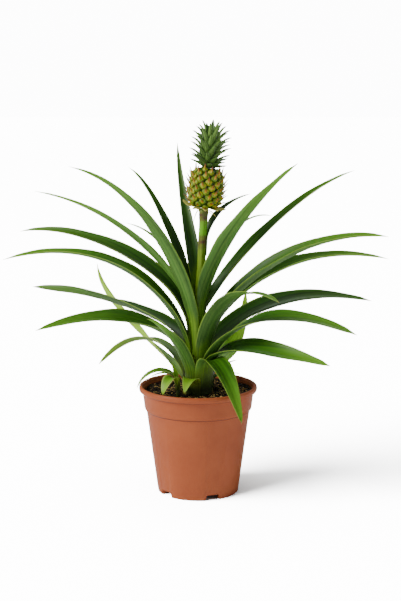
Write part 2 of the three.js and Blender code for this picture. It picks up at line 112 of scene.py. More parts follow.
def new_material(name, roughness, specular=0.5):
    """A material with its shader, and the tree that its pattern's nodes are added to."""
    material = bpy.data.materials.new(name)
    material.use_nodes = True
    tree = material.node_tree
    shader = tree.nodes["Principled BSDF"]
    shader.inputs["Roughness"].default_value = roughness
    shader.inputs["Specular IOR Level"].default_value = specular
    return material, tree, shader


def seen_or_lighting(tree, seen, lighting):
    """One brightness for what the camera sees, and another for what lights the plant."""
    ray = add(tree, "LightPath", output="Is Camera Ray")
    return add(tree, "MapRange", {"Value": ray, "To Min": lighting, "To Max": seen})


def studio_paper():
    """Matt white paper: it has no gloss, and its brightness is even all over."""
    material, tree, shader = new_material("studio paper", 0.9, 0.0)
    value = seen_or_lighting(tree, *PAPER_BRIGHTNESS)
    tree.links.new(add(tree, "CombineColor", (value, value, value)), shader.inputs["Base Color"])
    return material


def add_lamp(name, kind, power, place, direction):
    """A lamp of one kind at a place, pointing in a direction."""
    lamp = bpy.data.objects.new(name, bpy.data.lights.new(name, kind))
    lamp.data.energy = power
    lamp.location = place
    lamp.rotation_euler = Vector(direction).to_track_quat("-Z", "Y").to_euler()
    bpy.context.collection.objects.link(lamp)
    return lamp


def make_floor():
    """The sheet of paper, with two soft suns that light it alone and keep the plant's shadow."""
    bm = bmesh.new()
    bmesh.ops.create_grid(bm, x_segments=4, y_segments=4, size=FLOOR_HALF_WIDTH)
    mesh = bpy.data.meshes.new("floor")
    bm.to_mesh(mesh)
    bm.free()
    mesh.materials.append(studio_paper())
    floor = bpy.data.objects.new("floor", mesh)
    bpy.context.collection.objects.link(floor)
    lit = bpy.data.collections.new("floor_only")
    lit.objects.link(floor)
    for name, power, spread, direction in FLOOR_SUNS:
        sun = add_lamp(name, "SUN", power, (0, 0, 0), direction)
        sun.data.angle = math.radians(spread)
        sun.light_linking.receiver_collection = lit


def make_lights():
    """The soft lights on the plant, and the bright backdrop."""
    for name, place, size, power, colour in SOFT_LIGHTS:
        light = add_lamp(name, "AREA", power, place, PLANT_MIDDLE - Vector(place))
        light.data.shape = "RECTANGLE"
        light.data.size, light.data.size_y = size
        light.data.color = linear(colour)[:3]
    world = bpy.data.worlds.new("studio")
    world.use_nodes = True
    tree = world.node_tree
    backdrop = tree.nodes["Background"]
    backdrop.inputs["Color"].default_value = linear("#fcfcfe")
    tree.links.new(seen_or_lighting(tree, *BACKDROP_BRIGHTNESS), backdrop.inputs["Strength"])
    bpy.context.scene.world = world


make_floor()
make_lights()


# Pot
# A thin-walled nursery pot, injection moulded in terracotta-coloured polypropylene. It has a rolled
# rim, a collar over a small step, and a raised floor on a foot ring with five drainage notches, and
# it stands free on that ring.

MM = 0.001
FLOOR_UNDER = 5.6
FLOOR_TOP = 7.3
POT_PROFILE = [
    # the floor from below, the foot ring and the wall
    (0, FLOOR_UNDER), (37.2, FLOOR_UNDER), (38, 0), (41, 0), (41.5, 2.5), (52.6, 85),
    # the step, the collar and the rolled rim
    (54.2, 86.2), (54.7, 88.6), (56.4, 103.6), (59.2, 104.2), (60, 106), (60, 108.4), (59, 109.8),
    # down the inside
    (57.8, 110), (56.4, 109.2), (55.8, 107), (54.9, 102.6), (53, 88), (51.1, 84),
    (40.2, FLOOR_TOP), (0, FLOOR_TOP),
]
POT_CORNER = 0.9
POT_COLUMNS = 144
SHARP_EDGE = 35
# The notches' number, the first one's direction, and half of one's width, in degrees.
NOTCHES = 5
FIRST_NOTCH = -69
NOTCH_HALF = 10.5
# The columns of the wall within this many degrees of a notch's side move to just in or outside it.
NOTCH_SIDE_REACH = 1.3
NOTCH_INSIDE = 10.45
NOTCH_OUTSIDE = 10.6
FOOT_RING_INSIDE = 37.5
# Height and strength of the lines of painted shade in the corner of the step and under the
# rim, in metres.
PAINTED_SHADE_LINES = ((0.0852, 0.6), (0.1038, 0.5))
PAINTED_SHADE_HALF = 0.0007


def per_metre(size):
    """How often a pattern of a size in mm repeats in a metre."""
    return 1 / (size * MM)


def terracotta_plastic():
    """Moulded polypropylene, coloured right through: satin, with faint clouds 38 mm across, upright
    scuffs 1 mm wide and 9 mm long, a grain of 0.7 mm, and painted shade as a dark line in the
    corner of the step and under the rim."""
    material, tree, shader = new_material("terracotta plastic, satin", 0.5, 0.25)
    place = add(tree, "TexCoord", output="Object")
    cloud = add(tree, "TexNoise", {"Vector": place, "Scale": per_metre(38.46), "Detail": 4})
    colour = add(tree, "ValToRGB", (cloud,), stops=[(0.3, "#a34f2a"), (0.7, "#b05a32")])
    upright = add(tree, "Mapping", {
        "Vector": place, "Scale": [per_metre(size) for size in (1.111, 1.111, 9.259)]})
    scuff = add(tree, "TexNoise", {"Vector": upright, "Scale": 1, "Detail": 2})
    share = add(tree, "Math", (scuff, 0.08), operation="MULTIPLY")
    colour = add(tree, "Mix", (share, colour, linear("#cf8a64")), data_type="RGBA")
    height = add(tree, "SeparateXYZ", (place,), output="Z")
    # Painted shade: a dark band at each height stands in for the shade under the step and the rim.
    for crease, strength in PAINTED_SHADE_LINES:
        near = add(tree, "Math", (height, crease, PAINTED_SHADE_HALF), operation="COMPARE")
        share = add(tree, "Math", (near, strength), operation="MULTIPLY")
        colour = add(tree, "Mix", (share, colour, linear("#5e2612")), data_type="RGBA")
    tree.links.new(colour, shader.inputs["Base Color"])
    rough = add(tree, "Math", (cloud, 0.16, 0.42), operation="MULTIPLY_ADD")
    tree.links.new(rough, shader.inputs["Roughness"])
    grain = add(tree, "TexNoise", {"Vector": place, "Scale": per_metre(0.7143), "Detail": 2})
    bumps = add(tree, "Bump", {"Height": grain, "Distance": 0.06 * MM, "Strength": 0.6})
    tree.links.new(bumps, shader.inputs["Normal"])
    return material


def piece(bm, name, material, nodes=(), smooth=True):
    """Turns a bmesh into a piece that rides on the plant's body and stands for its CAD nodes."""
    for face in bm.faces:
        face.smooth = smooth
    mesh = bpy.data.meshes.new(name)
    bm.to_mesh(mesh)
    bm.free()
    mesh.materials.append(material)
    obj = bpy.data.objects.new(name, mesh)
    bpy.context.collection.objects.link(obj)
    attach(obj, "root")
    if nodes:
        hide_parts(*nodes)
    return obj


def turned(profile, steps):
    """A profile of (radius, height) points from axis to axis, spun about Z, and the layer that
    keeps each vertex's column, counted round from the right."""
    bm = bmesh.new()
    column = bm.verts.layers.int.new("column")
    line = [bm.verts.new((r * MM, 0, z * MM)) for r, z in profile]
    edges = [bm.edges.new(pair) for pair in zip(line, line[1:])]
    bmesh.ops.spin(
        bm, geom=line + edges, axis=(0, 0, 1), cent=(0, 0, 0), steps=steps,
        angle=2 * math.pi, use_merge=True)
    bmesh.ops.remove_doubles(bm, verts=bm.verts, dist=1e-6)
    for vert in bm.verts:
        turn = math.degrees(math.atan2(vert.co.y, vert.co.x)) % 360
        vert[column] = round(turn * steps / 360) % steps
    bmesh.ops.recalc_face_normals(bm, faces=bm.faces)
    return bm, column


def rounded(points, radius, steps):
    """The same open profile with its inner corners rounded."""
    out = [points[0]]
    for a, b, c in zip(points, points[1:], points[2:]):
        b = Vector(b)
        into = Vector(a) - b
        away = Vector(c) - b
        reach = min(radius, 0.45 * into.length, 0.45 * away.length)
        start = b + into.normalized() * reach
        end = b + away.normalized() * reach
        for k in range(steps + 1):
            t = k / steps
            out.append(tuple(start * (1 - t) ** 2 + b * 2 * t * (1 - t) + end * t * t))
    return out + [points[-1]]


def cut_notches(bm, column):
    """Lifts the foot ring to the floor at each notch, with upright sides."""
    for vert in bm.verts:
        radius = math.hypot(vert.co.x, vert.co.y)
        if radius < 1e-6:
            continue
        turn = vert[column] * 360 / POT_COLUMNS
        for k in range(NOTCHES):
            notch = FIRST_NOTCH + k * 360 / NOTCHES
            off = (turn - notch + 180) % 360 - 180
            if abs(abs(off) - NOTCH_HALF) < NOTCH_SIDE_REACH:
                side = NOTCH_INSIDE if abs(off) < NOTCH_HALF else NOTCH_OUTSIDE
                turn = notch + math.copysign(side, off)
            in_foot_ring = vert.co.z < FLOOR_UNDER * MM and radius > FOOT_RING_INSIDE * MM
            if abs(off) < NOTCH_HALF and in_foot_ring:
                vert.co.z = FLOOR_UNDER * MM
        vert.co.x = radius * math.cos(math.radians(turn))
        vert.co.y = radius * math.sin(math.radians(turn))


def make_pot():
    bm, column = turned(rounded(POT_PROFILE, POT_CORNER, 3), POT_COLUMNS)
    cut_notches(bm, column)
    bm.normal_update()
    for edge in bm.edges:
        if len(edge.link_faces) == 2 and edge.calc_face_angle(0) > math.radians(SHARP_EDGE):
            edge.smooth = False
    piece(bm, "nursery_pot", terracotta_plastic(), ["pot"])


make_pot()


# Soil
# Moist potting mix of bark and peat, poured round the roots and pressed in by hand. It lies about
# 8 mm under the rim and rises a little toward the wall, lumpy, with loose crumbs and pale fibres.

SOIL_TOP = 102
SOIL_EDGE_RADIUS = 30
SOIL_EDGE_RISE = 2.4
SOIL_RINGS = [54.1, *range(52, 18, -3), 16.5]
# The body of the soil, from the pot's floor up its wall, over the top and down round the trunk.
SOIL_PROFILE = [
    (0, 7.6), (39.9, 7.6), (50.8, 84), (52.4, 90), *((r, SOIL_TOP) for r in SOIL_RINGS),
    (16.4, 97.9), (11.3, 79.7), (0, 79.7),
]
CRUMBS = 1500
FIBRES = 170
# Dark peat is most common, and pale bark is rare.
CRUMB_TONES = [0.04, 0.06, 0.1, 0.14, 0.2, 0.3, 0.45, 0.7, 0.95]
SOIL_WALL = 53.8
TRUNK_CLEARANCE = 18
SHOOT_PLACE = (-20, -20)
# A large pale chip of bark lies at the front left.
BARK_CHIP = (-19, -38, 3.2, 0.72)
FULL_TURN = 6.28


def potting_mix():
    """Moist bark and peat: matt and near-black in the crumbs of low tone, through brown bark to tan
    fibres in those of high tone, with a grain just under 1 mm."""
    material, tree, shader = new_material("moist potting mix", 0.85, 0.25)
    place = add(tree, "TexCoord", output="Object")
    grain = add(tree, "TexNoise", {
        "Vector": place, "Scale": per_metre(0.9091), "Detail": 4, "Roughness": 0.7})
    spread = add(tree, "Math", (grain, 0.3, -0.15), operation="MULTIPLY_ADD")
    tone = add(tree, "Attribute", output="Fac", attribute_name="tone")
    tone = add(tree, "Math", (tone, spread), operation="ADD")
    colour = add(tree, "ValToRGB", (tone,), stops=[
        (0.0, "#0e0a07"), (0.35, "#231811"), (0.6, "#4e3a22"), (0.8, "#8c7040"), (1.0, "#c4a668")])
    tree.links.new(colour, shader.inputs["Base Color"])
    bumps = add(tree, "Bump", {"Height": grain, "Distance": 0.6 * MM, "Strength": 1.0})
    tree.links.new(bumps, shader.inputs["Normal"])
    return material


def soil_height(x, y):
    """Height of the soil at a place, all in mm."""
    waves = math.sin(0.21 * x + 1.3) * math.cos(0.17 * y) + 0.6 * math.sin(0.43 * x - 0.37 * y)
    waves += 0.5 * math.cos(0.61 * y + 0.29 * x)
    rise = SOIL_EDGE_RISE * max(0, math.hypot(x, y) - SOIL_EDGE_RADIUS) / SOIL_EDGE_RADIUS
    return SOIL_TOP + 0.8 * waves + rise


def pour(bm, other):
    """Moves a finished bmesh into another."""
    mesh = bpy.data.meshes.new("poured")
    other.to_mesh(mesh)
    other.free()
    bm.from_mesh(mesh)
    bpy.data.meshes.remove(mesh)


def soil_bed(bm, tone):
    """The body of the soil, whose top follows the lumps."""
    bed, _ = turned(SOIL_PROFILE, 120)
    draw = random.Random(2)
    for vert in bed.verts:
        if vert.co.z > (SOIL_TOP - 0.1) * MM:
            height = soil_height(vert.co.x / MM, vert.co.y / MM)
            vert.co.z = (height + draw.uniform(-0.5, 0.5)) * MM
    pour(bm, bed)
    for vert in bm.verts:
        vert[tone] = 0.12 + 0.18 * draw.random()


def crumb(bm, tone, draw, x, y, size, value):
    """One faceted crumb: a small sphere pushed out of shape and sunk a little into the soil."""
    made = bmesh.ops.create_icosphere(bm, subdivisions=1, radius=size * MM)
    stretch = (draw.uniform(0.7, 1.6), draw.uniform(0.6, 1.2), draw.uniform(0.5, 1.0))
    turn = Matrix.Rotation(draw.uniform(0, FULL_TURN), 3, "Z")
    turn = turn @ Matrix.Rotation(draw.uniform(-0.7, 0.7), 3, "X")
    place = Vector((x, y, soil_height(x, y) + 0.25 * size)) * MM
    for vert in made["verts"]:
        knock = 1 + draw.uniform(-0.25, 0.25)
        vert.co = turn @ Matrix.Diagonal(stretch) @ (vert.co * knock) + place
        vert[tone] = value + draw.uniform(-0.06, 0.06)


def skin(bm, rings):
    """Joins each ring of vertices to the next and closes both ends."""
    count = len(rings[0])
    for a, b in zip(rings, rings[1:]):
        for j in range(count):
            bm.faces.new((a[j], a[(j + 1) % count], b[(j + 1) % count], b[j]))
    bm.faces.new(rings[0][::-1])
    bm.faces.new(rings[-1])


def fibre(bm, tone, draw, x, y):
    """A thin curved strand lying on the soil, three-sided and thickest in the middle."""
    length = draw.uniform(3, 9)
    turn = draw.uniform(0, FULL_TURN)
    bend = draw.uniform(-1.2, 1.2)
    value = draw.uniform(0.72, 1.0)
    thick = draw.uniform(0.18, 0.4)
    rings = []
    for k in range(6):
        t = k / 5
        heading = turn + bend * t
        px = x + length * t * math.cos(heading)
        py = y + length * t * math.sin(heading)
        pz = soil_height(px, py) + 0.9 + 1.2 * math.sin(math.pi * t)
        size = thick * (1 - 0.6 * abs(2 * t - 1))
        side = Vector((-math.sin(heading), math.cos(heading), 0))
        ring = []
        for j in range(3):
            around = j * 2 * math.pi / 3
            off = side * math.cos(around) + Vector((0, 0, math.sin(around)))
            vert = bm.verts.new((Vector((px, py, pz)) + off * size) * MM)
            vert[tone] = value
            ring.append(vert)
        rings.append(ring)
    skin(bm, rings)


def scatter(draw, reach, nearest):
    """A random place on the soil, as its distance from the middle and its x and y."""
    radius = reach * math.sqrt(draw.uniform(nearest, 1))
    turn = draw.uniform(0, FULL_TURN)
    return radius, radius * math.cos(turn), radius * math.sin(turn)


def from_shoot(x, y):
    """How far a place is from the side shoot."""
    return math.hypot(x - SHOOT_PLACE[0], y - SHOOT_PLACE[1])


def make_soil():
    bm = bmesh.new()
    tone = bm.verts.layers.float.new("tone")
    soil_bed(bm, tone)
    draw = random.Random(7)
    for k in range(CRUMBS):
        radius, x, y = scatter(draw, 53, 0.1)
        size = draw.uniform(0.5, 1.3) if k % 9 else draw.uniform(1.3, 2.3)
        if radius + 1.5 * size > SOIL_WALL or radius < TRUNK_CLEARANCE or from_shoot(x, y) < 8:
            continue
        crumb(bm, tone, draw, x, y, size, draw.choice(CRUMB_TONES))
    for _ in range(FIBRES):
        radius, x, y = scatter(draw, 48, 0.15)
        if radius < TRUNK_CLEARANCE + 2 or from_shoot(x, y) < 9:
            continue
        fibre(bm, tone, draw, x, y)
    crumb(bm, tone, draw, *BARK_CHIP)
    piece(bm, "potting_mix", potting_mix(), ["soil"], smooth=False)


make_soil()


# Stem
# One living piece, set in the soil: the short trunk that the leaves clasp, and above it the stalk
# that bears the fruit. It is waxy, yellow-green and finely ridged, brown at its nodes, and leans a
# little to the right above the rosette.

TRUNK_FOOT = 80
TRUNK_FOOT_RADIUS = 11
STALK_TOP = 289
STALK_RADIUS = 4.1
# The radius at which a leaf's sheath starts, 100 mm up, how it shrinks with height, and its least.
SHEATH_FOOT = 17
SHEATH_TAPER = 0.172
SHEATH_LEAST = 4.9
# Height, spread and strength of the brown nodes where bracts grew.
STALK_NODES = ((282, 6, 1.2), (256, 6, 1.1))
# The young, lime-green length between the nodes, in metres.
LIME_MIDDLE = 0.2725
LIME_HALF = 0.0075


def smoothstep(value):
    """A smooth rise from 0 to 1 as the value does so."""
    t = min(1.0, max(0.0, value))
    return t * t * (3 - 2 * t)


def stem_axis(z):
    """How far right of the pot's axis the stem stands at a height."""
    return 3.4 * smoothstep((z - 190) / 50) + 0.047 * max(0, z - 240)


def sheath_radius(z):
    """How far from the stem's axis the sheath of a leaf starts at a height."""
    return max(SHEATH_FOOT - SHEATH_TAPER * (z - 100), SHEATH_LEAST)


def node_strength(z):
    """How brown and swollen the stem is at a height: at its nodes, and low on the trunk."""
    nodes = sum(strength * math.exp(-((z - at) / wide) ** 2) for at, wide, strength in STALK_NODES)
    return nodes + smoothstep((150 - z) / 30)


def stem_radius(z):
    """Radius of the trunk inside the sheaths and of the stalk, which widens under the fruit."""
    if z < TRUNK_FOOT + 11:
        return TRUNK_FOOT_RADIUS
    plain = max(STALK_RADIUS, sheath_radius(z) - 1.0)
    return plain + 0.12 * node_strength(z) + 0.6 * smoothstep((z - 276) / 10)


def waxy_stalk():
    """A living stalk with a waxy sheen: yellow-green with lengthwise streaks about 1 mm wide, lime
    where it is young, and brown where bracts grew."""
    material, tree, shader = new_material("waxy stalk", 0.42)
    place = add(tree, "TexCoord", output="Object")
    lengthwise = add(tree, "Mapping", {
        "Vector": place, "Scale": [per_metre(size) for size in (1.111, 1.111, 25)]})
    streaks = add(tree, "TexNoise", {
        "Vector": lengthwise, "Scale": 1, "Detail": 3, "Roughness": 0.6})
    green = add(tree, "ValToRGB", (streaks,), stops=[(0.3, "#587d12"), (0.7, "#8cae22")])
    brown = add(tree, "ValToRGB", (streaks,), stops=[(0.3, "#36200f"), (0.7, "#744c2c")])
    height = add(tree, "SeparateXYZ", (place,), output="Z")
    ragged_height = add(tree, "Math", (streaks, 0.006, height), operation="MULTIPLY_ADD")
    young = add(tree, "Math", (ragged_height, LIME_MIDDLE, LIME_HALF), operation="COMPARE")
    share = add(tree, "Math", (young, 0.85), operation="MULTIPLY")
    green = add(tree, "Mix", (share, green, linear("#70c000")), data_type="RGBA")
    ragged = add(tree, "Math", (streaks, 0.5, -0.25), operation="MULTIPLY_ADD")
    node = add(tree, "Attribute", output="Fac", attribute_name="brown")
    share = add(tree, "Math", (node, ragged), operation="ADD", use_clamp=True)
    colour = add(tree, "Mix", (share, green, brown), data_type="RGBA")
    tree.links.new(colour, shader.inputs["Base Color"])
    ridges = add(tree, "Bump", {"Height": streaks, "Distance": 0.2 * MM, "Strength": 0.6})
    tree.links.new(ridges, shader.inputs["Normal"])
    return material


def make_stem():
    heights = [TRUNK_FOOT, 90, *range(100, 287, 3), STALK_TOP]
    profile = [(0, TRUNK_FOOT), *((stem_radius(z), z) for z in heights), (0, STALK_TOP)]
    columns = 28
    bm, column = turned(profile, columns)
    brown = bm.verts.layers.float.new("brown")
    for vert in bm.verts:
        z = vert.co.z / MM
        turn = 2 * math.pi * vert[column] / columns
        if z > 170 and math.hypot(vert.co.x, vert.co.y) > 1e-6:
            ridge = 0.14 * math.sin(7 * turn)
            vert.co += Vector((math.cos(turn), math.sin(turn), 0)) * ridge * MM
        vert.co.x += stem_axis(z) * MM
        vert[brown] = min(1.0, node_strength(z) * (0.7 + 0.3 * math.sin(turn * 2 + z)))
    piece(bm, "stalk", waxy_stalk(), ["stem"])


make_stem()


# Leaves
# Each leaf clasps the stem with a sheath that is yellow-green, painted dark with shade near the
# soil. It leaves the bundle and arches out as a waxy channel with a crease down its middle, and
# thins to a yellowed point with a dry tip.

# Direction round the stem, height of the foot, height where it leaves the bundle, reach, height of
# the tip, slope at the tip, how far the curve runs on from the bundle and back from the tip, width,
# angle of the channel, roll, and twist toward the tip, in mm and degrees.
LEAVES = {
    "leaf_stalk": (30, 250, 256, 56, 301, 12, 15, 36, 13, 50, 0, 0),
    "leaf_right_slim": (-5, 225, 229, 71, 282, -16, 4, 34, 11, 50, -10, 0),
    "leaf_back_tall": (105, 168, 212, 84, 350, 84, 26, 44, 15, 50, -10, 0),
    "leaf_front_right_tall": (-50, 168, 186, 141, 341, 33, 29, 112, 25, 50, -5, 0),
    "leaf_back_left_tall": (150, 162, 187, 82, 327, 25, 28, 36, 16, 55, -15, 0),
    "leaf_right_tall": (22, 162, 186, 175, 322, 16, 10, 88, 20, 60, 10, 0),
    "leaf_left_tall": (192, 155, 188, 161, 309, 11, 12, 96, 19, 60, 15, 0),
    "leaf_back_left_slim": (138, 149, 172, 101, 267, 5, 15, 75, 10, 50, 0, 0),
    "leaf_front_left_tall": (230, 149, 172, 178, 340, 13, 27, 112, 20, 50, 5, 0),
    "leaf_right_long_upper": (-8, 146, 160, 188, 264, -4, 14, 108, 32, 60, 12, 0),
    "leaf_left_long_upper": (162, 143, 167, 195, 259, -11, 53, 76, 26, 60, -18, -9),
    "leaf_right_long_lower": (15, 140, 156, 205, 231, -12, 12, 138, 28, 60, 12, 0),
    "leaf_left_long_lower": (181, 137, 149, 195, 238, -15, 15, 138, 26, 59, -11, 0),
    "leaf_front_right_twisted": (-60, 135, 142, 148, 216, -12, 30, 86, 22, 40, -20, 30),
    "leaf_left_twisted": (149, 131, 145, 210, 193, -4, 33, 53, 25, 56, -12, 112),
    "leaf_right_low_upper": (30, 128, 142, 218, 177, -14, 10, 146, 30, 47, 15, 17),
    "leaf_left_low": (206, 125, 134, 172, 180, -13, 17, 113, 28, 50, -28, 0),
    "leaf_right_low_lower": (-30, 122, 130, 173, 178, -17, 13, 124, 31, 30, 14, 11),
    "leaf_front_left_short": (234, 119, 121, 83, 190, 16, 22, 23, 17, 48, 8, 6),
    "leaf_back_right_upturned": (61, 116, 121, 105, 191, 87, 4, 74, 20, 27, 31, -7),
    "leaf_right_broad": (-28, 116, 126, 144, 144, -9, 27, 86, 33, 45, 31, 0),
    "leaf_back_left_arched": (150, 113, 120, 122, 117, -45, 7, 97, 19, 41, 15, 20),
    "leaf_front_drooping": (-61, 110, 121, 87, 89, -62, 42, 44, 25, 40, 0, 0),
    "leaf_right_small_upper": (10, 110, 116, 40, 134, 20, 15, 12, 10, 40, 0, 0),
    "leaf_back_left_pale": (130, 107, 113, 173, 215, 88, 5, 50, 18, 50, 42, 92),
    "leaf_back_right_small": (40, 105, 109, 57, 113, -12, 10, 20, 7, 40, 0, 0),
    "leaf_front_low": (252, 103.5, 112, 43, 111, -60, 12, 16, 17, 40, -15, 0),
}
# How pale a leaf is, from 0 for the darkest. The rest lie between 0.45 and 0.7. These tones are
# partly each leaf's own colour and partly painted light and shade: leaf_front_drooping's is painted
# light, and leaf_back_left_pale's is painted light shining through it.
LEAF_TONES_AND_PAINTED_LIGHT = {
    "leaf_stalk": 0.1, "leaf_back_tall": 0.0, "leaf_back_left_tall": 0.05,
    "leaf_left_long_upper": 0.1, "leaf_left_long_lower": 0.4, "leaf_front_right_twisted": 0.2,
    "leaf_left_twisted": 0.0, "leaf_right_low_upper": 0.05, "leaf_right_low_lower": 0.35,
    "leaf_front_drooping": 0.7, "leaf_right_tall": 0.35, "leaf_back_left_arched": 0.1,
    "leaf_back_left_pale": 1.0,
}
YOUNG_LEAVES = ("leaf_back_left_pale", "leaf_back_right_upturned", "leaf_front_low")
# A leaf that takes the young leaves' paler colours.
PALE_LEAF = "leaf_back_left_arched"
LEAF_THICKNESS = 0.8
LEAF_ROOT = 9
LEAVING_ANGLE = math.radians(87)
SHEATH_FADE = 50
ROLL_LENGTH = 100
CREASE_SHARE = 0.4
# Across and along the leaf, the veins, bands and patches of its colour: sizes in mm, the third for
# the step from one leaf to the next, then the noise's detail and roughness.
LEAF_PATTERNS = (
    ((1.25, 143, 25), 3, 0.65),
    ((3.846, 200, 25), 2, 0.5),
    ((16.67, 33.33, 25), 3, 0.5),
)
# A sheath is painted dark with shade below the first of these heights, and plain above the
# second, in metres.
PAINTED_SHADE_BELOW = 0.108
PAINTED_SHADE_FADES_ABOVE = 0.136


def waxy_leaf(name, upper, under, base, tip):
    """A living leaf with a waxy sheen, greyer and rougher underneath. Veins 1.25 mm apart and bands
    4 mm wide run its whole length, with patches over them. Its edges and tip are yellower, and its
    sheath is pale, but painted dark with shade near the soil. Each set of colours is given dark
    first."""
    material, tree, shader = new_material(name, 0.4, 0.25)
    place = add(tree, "TexCoord", output="Object")
    flat = add(tree, "TexCoord", output="UV")
    tone = add(tree, "Attribute", output="Fac", attribute_name="tone")
    is_under = add(tree, "Attribute", output="Fac", attribute_name="under")
    is_edge = add(tree, "Attribute", output="Fac", attribute_name="edge")
    is_foot = add(tree, "Attribute", output="Fac", attribute_name="foot")
    is_far = add(tree, "Attribute", output="Fac", attribute_name="far")
    is_dry = add(tree, "Attribute", output="Fac", attribute_name="dry")
    # Leaves of different tones read different layers of the noise.
    layer = add(tree, "Math", (tone, 0.37), operation="MULTIPLY")
    layer = add(tree, "CombineXYZ", {"Z": layer})
    flat = add(tree, "VectorMath", (flat, layer), operation="ADD")
    patterns = []
    for sizes, detail, roughness in LEAF_PATTERNS:
        scaled = add(tree, "Mapping", {
            "Vector": flat, "Scale": [per_metre(size) for size in sizes]})
        patterns.append(add(tree, "TexNoise", {
            "Vector": scaled, "Scale": 1, "Detail": detail, "Roughness": roughness}))
    veins, bands, patches = patterns
    stripes = add(tree, "Math", (veins, 2.2, -0.75), operation="MULTIPLY_ADD", use_clamp=True)
    sides = []
    for (dark, light, yellow), strength in ((upper, 0.45), (under, 0.5)):
        side = add(tree, "ValToRGB", (bands,), stops=[(0.38, dark), (0.62, light)])
        share = add(tree, "Math", (stripes, strength), operation="MULTIPLY")
        sides.append(add(tree, "Mix", (share, side, linear(yellow)), data_type="RGBA"))
    colour = add(tree, "Mix", (is_under, *sides), data_type="RGBA")
    # Partly painted light and shade: each leaf's tone lightens or darkens its whole colour.
    darkening_by_tone = add(tree, "ValToRGB", (tone,), stops=[
        (0.0, "#a6ac9c"), (0.5, "#e6e8dc"), (1.0, "#ffffe0")])
    colour = add(tree, "Mix", (1.0, colour, darkening_by_tone), data_type="RGBA", blend_type="MULTIPLY")
    mottled = add(tree, "ValToRGB", (patches,), stops=[(0.35, "#dadada"), (0.65, "#ffffff")])
    colour = add(tree, "Mix", (0.5, colour, mottled), data_type="RGBA", blend_type="MULTIPLY")
    yellowed = add(tree, "Math", (tone, 0.65, 0.2), operation="MULTIPLY_ADD")
    yellowed = add(tree, "Math", (is_far, yellowed), operation="MULTIPLY")
    colour = add(tree, "Mix", (yellowed, colour, linear(upper[2])), data_type="RGBA")
    blade = add(tree, "Math", (is_foot, -0.65, 0.65), operation="MULTIPLY_ADD")
    rim = add(tree, "Math", (is_edge, blade), operation="MULTIPLY")
    colour = add(tree, "Mix", (rim, colour, linear(base[2])), data_type="RGBA")
    sheath = add(tree, "ValToRGB", (veins,), stops=[(0.35, base[0]), (0.65, base[1])])
    share = add(tree, "Math", (is_foot, 0.7), operation="MULTIPLY")
    colour = add(tree, "Mix", (share, colour, sheath), data_type="RGBA")
    # Painted shade: the sheath goes dark near the soil, where the leaves above shade it.
    painted_shade = add(tree, "MapRange", {
        "Value": add(tree, "SeparateXYZ", (place,), output="Z"),
        "From Min": PAINTED_SHADE_BELOW, "From Max": PAINTED_SHADE_FADES_ABOVE, "To Min": 0.95, "To Max": 0.0})
    share = add(tree, "Math", (is_foot, painted_shade), operation="MULTIPLY")
    colour = add(tree, "Mix", (share, colour, linear("#20280e")), data_type="RGBA")
    colour = add(tree, "Mix", (is_dry, colour, linear(tip)), data_type="RGBA")
    tree.links.new(colour, shader.inputs["Base Color"])
    rough = add(tree, "Math", (is_under, 0.12, 0.4), operation="MULTIPLY_ADD")
    tree.links.new(rough, shader.inputs["Roughness"])
    ribs = add(tree, "Bump", {"Height": veins, "Distance": 0.2 * MM, "Strength": 0.5})
    tree.links.new(ribs, shader.inputs["Normal"])
    return material


LEAF_SKIN = waxy_leaf(
    "waxy leaf", ("#1f5012", "#3a7a1c", "#78b42c"), ("#3f6c26", "#5a8f3c", "#90bc62"),
    ("#56861a", "#8ab22a", "#a3c850"), "#a08a5a")
YOUNG_SKIN = waxy_leaf(
    "waxy young leaf", ("#529012", "#78b61e", "#a2d23c"), ("#78b01c", "#98ca30", "#bee052"),
    ("#9cc01c", "#c4dc4c", "#d6e880"), "#b09a60")


def cubic(points, t):
    """The point at t, from 0 to 1, on a Bezier curve of four points."""
    a, b, c, d = points
    s = 1 - t
    return a * s ** 3 + b * 3 * s * s * t + c * 3 * s * t * t + d * t ** 3


def directions(turn):
    """The level directions straight out from an axis at a turn, and to the left of that."""
    outward = Vector((math.cos(turn), math.sin(turn), 0))
    sideways = Vector((-math.sin(turn), math.cos(turn), 0))
    return outward, sideways


def midrib(radius, seat, leave, reach, tip, slope, lead, tail, root):
    """Points down the middle of a leaf as (distance out, height), the lengths to each of them, and
    the lengths to its seat and to where it leaves the bundle. The root lies on the trunk."""
    start = Vector((math.cos(LEAVING_ANGLE), math.sin(LEAVING_ANGLE)))
    seated = Vector((radius, seat))
    collar = Vector((radius + (leave - seat) / math.tan(LEAVING_ANGLE), leave))
    end = Vector((reach, tip))
    down = math.radians(slope)
    curve = (
        collar, collar + start * lead,
        end - Vector((math.cos(down), math.sin(down))) * tail, end)
    below = [seat - root * (1 - k / 12) for k in range(12)] if root else []
    dense = [Vector((sheath_radius(z) - 0.5 * (seat - z) / root, z)) for z in below]
    dense += [seated.lerp(collar, k / 10) for k in range(10)]
    dense += [cubic(curve, k / 150) for k in range(151)]
    along = [0.0]
    for a, b in zip(dense, dense[1:]):
        along.append(along[-1] + (b - a).length)
    return dense, along, along[len(below)], along[len(below) + 10]


def leaf_width(width, share, out, before_seat):
    """Width of a leaf at a share of its length and a distance out from the stem's axis. It is full
    for a third of the length, never wraps more than the stem, and its root is rounded off."""
    body = 1 if share < 0.35 else min(1, 0.1 + 1.55 * (1 - share) ** 0.9)
    widest = width * body * min(1, (1 - share) / 0.06) ** 0.6
    wide = (max(widest, 0.25) ** -4 + (1.8 * out) ** -4) ** -0.25
    return wide * max(0.02, 1 - before_seat ** 2) ** 0.5


